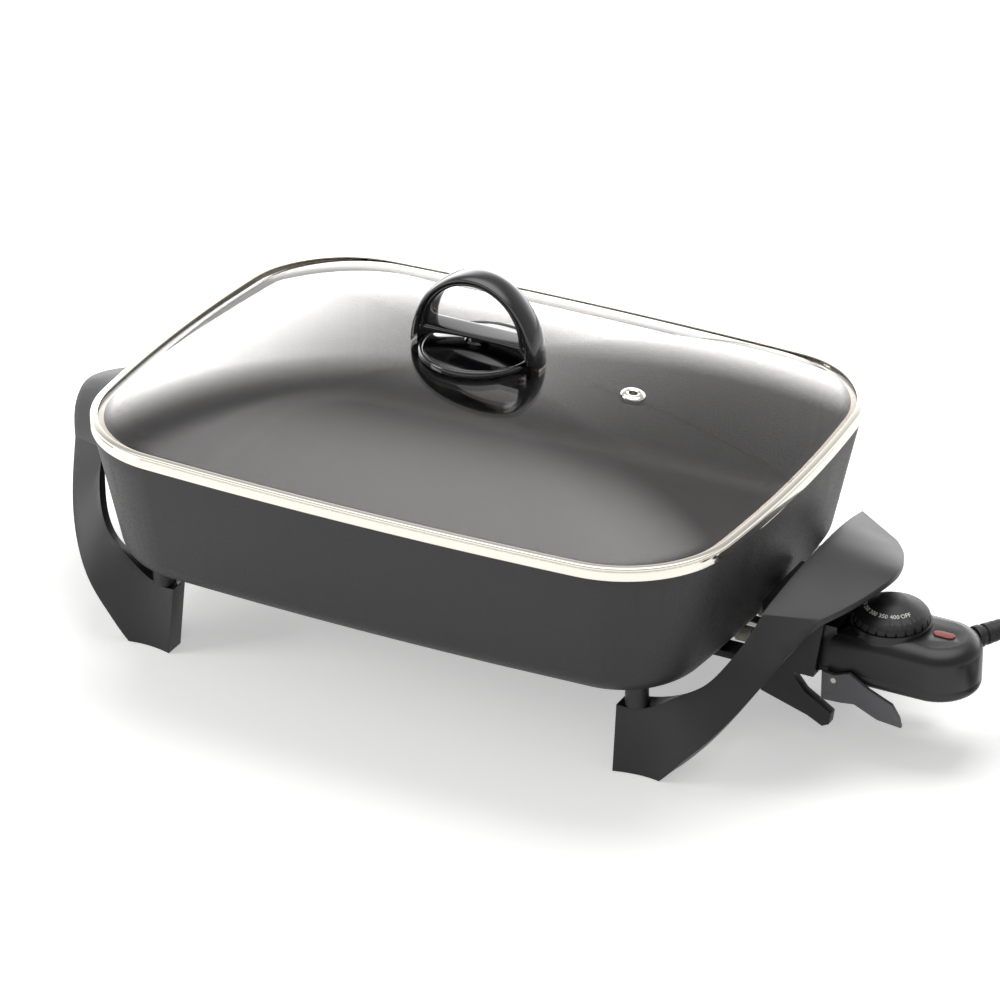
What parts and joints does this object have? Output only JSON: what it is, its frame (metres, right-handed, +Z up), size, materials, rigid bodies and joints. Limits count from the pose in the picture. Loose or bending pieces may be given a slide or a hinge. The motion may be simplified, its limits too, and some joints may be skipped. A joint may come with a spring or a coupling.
{
  "type": "electric skillet",
  "caption": "Rectangular electric skillet with twisted leg-and-grip mouldings, lift-off domed glass lid and plug-in dial control with cord.",
  "frame": {"origin": "on the worktop, in the middle of the four feet and under the pan's centre", "axes": "+X along the pan's long side towards the control, +Y to the back, +Z up"},
  "size_m": [0.6752, 0.291, 0.2201],
  "materials": {
    "nonstick_aluminium": "satin nonstick coating on cast aluminium",
    "element_sheath": "drawn sheath",
    "ceramic": "fired steatite",
    "nickel_pins": "nickel plated",
    "satin_phenolic": "satin moulded phenolic",
    "gloss_phenolic": "polished moulded phenolic",
    "guard_plastic": "moulded heat-resistant plastic",
    "steel_screws": "zinc plated steel",
    "smoked_glass": "tempered clear glass",
    "polished_steel": "polished stainless steel",
    "silicone": "moulded silicone rubber",
    "control_plastic": "moulded phenolic",
    "dial_plastic": "fine matt moulding",
    "lever_plastic": "grey moulded nylon",
    "red_lens": "clear red polycarbonate",
    "lamp_glass": "blown glass",
    "brass": "formed brass strip",
    "plated_strip": "plated spring strip",
    "lead_sleeve": "woven glass sleeve",
    "cord_vinyl": "soft black vinyl",
    "tie_plastic": "flat wire tie"
  },
  "bodies": {
    "base": {"pan_body": "nonstick_aluminium", "heating_element": "element_sheath", "pin_insulators": "ceramic", "terminal_pins": "nickel_pins", "left_handle": "satin_phenolic", "right_handle": "satin_phenolic", "handle_screws": "steel_screws", "terminal_guard": "guard_plastic", "guard_screws": "steel_screws"},
    "lid": {"lid_glass": "smoked_glass", "lid_rim": "polished_steel", "vent_eyelet": "polished_steel", "lid_handle_base": "gloss_phenolic", "lid_handle": "gloss_phenolic", "lid_handle_seal": "silicone", "lid_washer": "polished_steel", "lid_screw": "steel_screws"},
    "control": {"control_upper_shell": "control_plastic", "control_lower_shell": "control_plastic", "control_screws": "steel_screws", "lamp_lens": "red_lens", "neon_lamp": "lamp_glass", "lamp_resistor": "ceramic", "probe_rod": "nickel_pins", "contact_sockets": "brass", "thermostat_frame": "plated_strip", "ceramic_spacers": "ceramic", "contact_arm": "brass", "bimetal_blade": "plated_strip", "stack_rivet": "steel_screws", "inner_leads": "lead_sleeve", "strain_relief": "cord_vinyl", "lever_pins": "nickel_pins", "cord_lead": "cord_vinyl", "cord_coil": "cord_vinyl", "cord_tie": "tie_plastic", "plug_body": "cord_vinyl", "plug_blades": "brass"},
    "dial": {"dial": "dial_plastic", "dial_spindle": "nickel_pins"},
    "lever": {"release_lever": "lever_plastic"}
  },
  "joints": [
    {"name": "lid_lift", "type": "slide", "parent": "base", "child": "lid", "axis": [0, 0, 1], "range_m": [0, 0.15]},
    {"name": "control_unplug", "type": "slide", "parent": "base", "child": "control", "axis": [1, 0, 0], "range_m": [0, 0.09]},
    {"name": "dial_turn", "type": "hinge", "parent": "control", "child": "dial", "pos_m": [0.252, 0, 0.075], "axis": [0, 0, 1], "range_deg": [-290, 0]},
    {"name": "lever_press", "type": "hinge", "parent": "control", "child": "lever", "pos_m": [0.2305, 0, 0.0382], "axis": [0, 1, 0], "range_deg": [0, 18], "stiffness_Nm_per_rad": 0.3, "springref_deg": -5.73}
  ]
}
